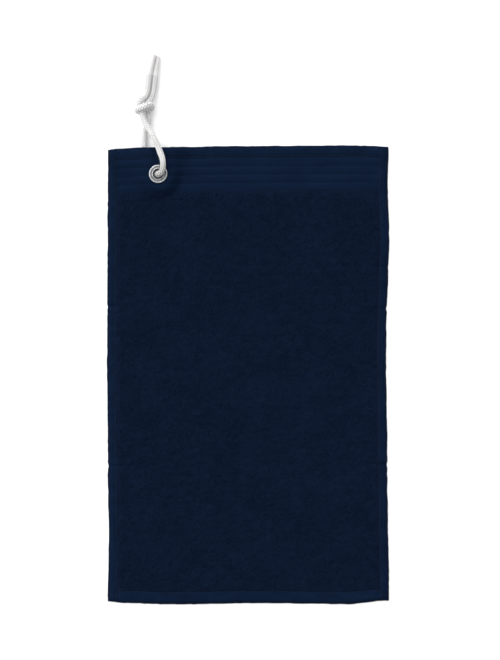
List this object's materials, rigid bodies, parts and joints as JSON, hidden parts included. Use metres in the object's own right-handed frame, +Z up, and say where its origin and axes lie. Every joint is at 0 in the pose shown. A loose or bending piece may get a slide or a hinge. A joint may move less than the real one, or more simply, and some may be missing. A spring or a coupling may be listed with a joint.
{
  "type": "golf towel",
  "caption": "Navy terry golf towel lying flat, with a ribbed border, hemmed edges, a metal corner eyelet and a knotted white cord loop with sleeved tips.",
  "frame": {"origin": "on the table under the middle of the towel's cloth", "axes": "+Z up from the table, +Y along the towel towards the eyelet and the cord, +X to the towel's right"},
  "size_m": [0.304, 0.5938, 0.0189],
  "materials": {
    "navy_cloth": "dark navy cotton terry with a flat woven ribbed border",
    "navy_thread": "navy sewing thread",
    "nickel": "bright nickel plate",
    "white_cord": "white round braided cord",
    "white_sleeve": "smooth white shrink sleeve"
  },
  "bodies": {
    "towel": {"towel_cloth": "navy_cloth", "hem_thread_left": "navy_thread", "hem_thread_right": "navy_thread", "hem_thread_bottom": "navy_thread", "hem_thread_top": "navy_thread", "eyelet_front_ring": "nickel", "eyelet_back_ring": "nickel"},
    "cord": {"cord_front_strand": "white_cord", "cord_back_strand": "white_cord", "cord_knot": "white_cord", "cord_tail_left": "white_cord", "cord_tail_right": "white_cord", "cord_tip_left": "white_sleeve", "cord_tip_right": "white_sleeve"}
  },
  "joints": [
    {"name": "cord_swing", "type": "hinge", "parent": "towel", "child": "cord", "pos_m": [-0.0967, 0.2164, 0], "axis": [0, 0, 1], "range_deg": [-50, 18]}
  ]
}
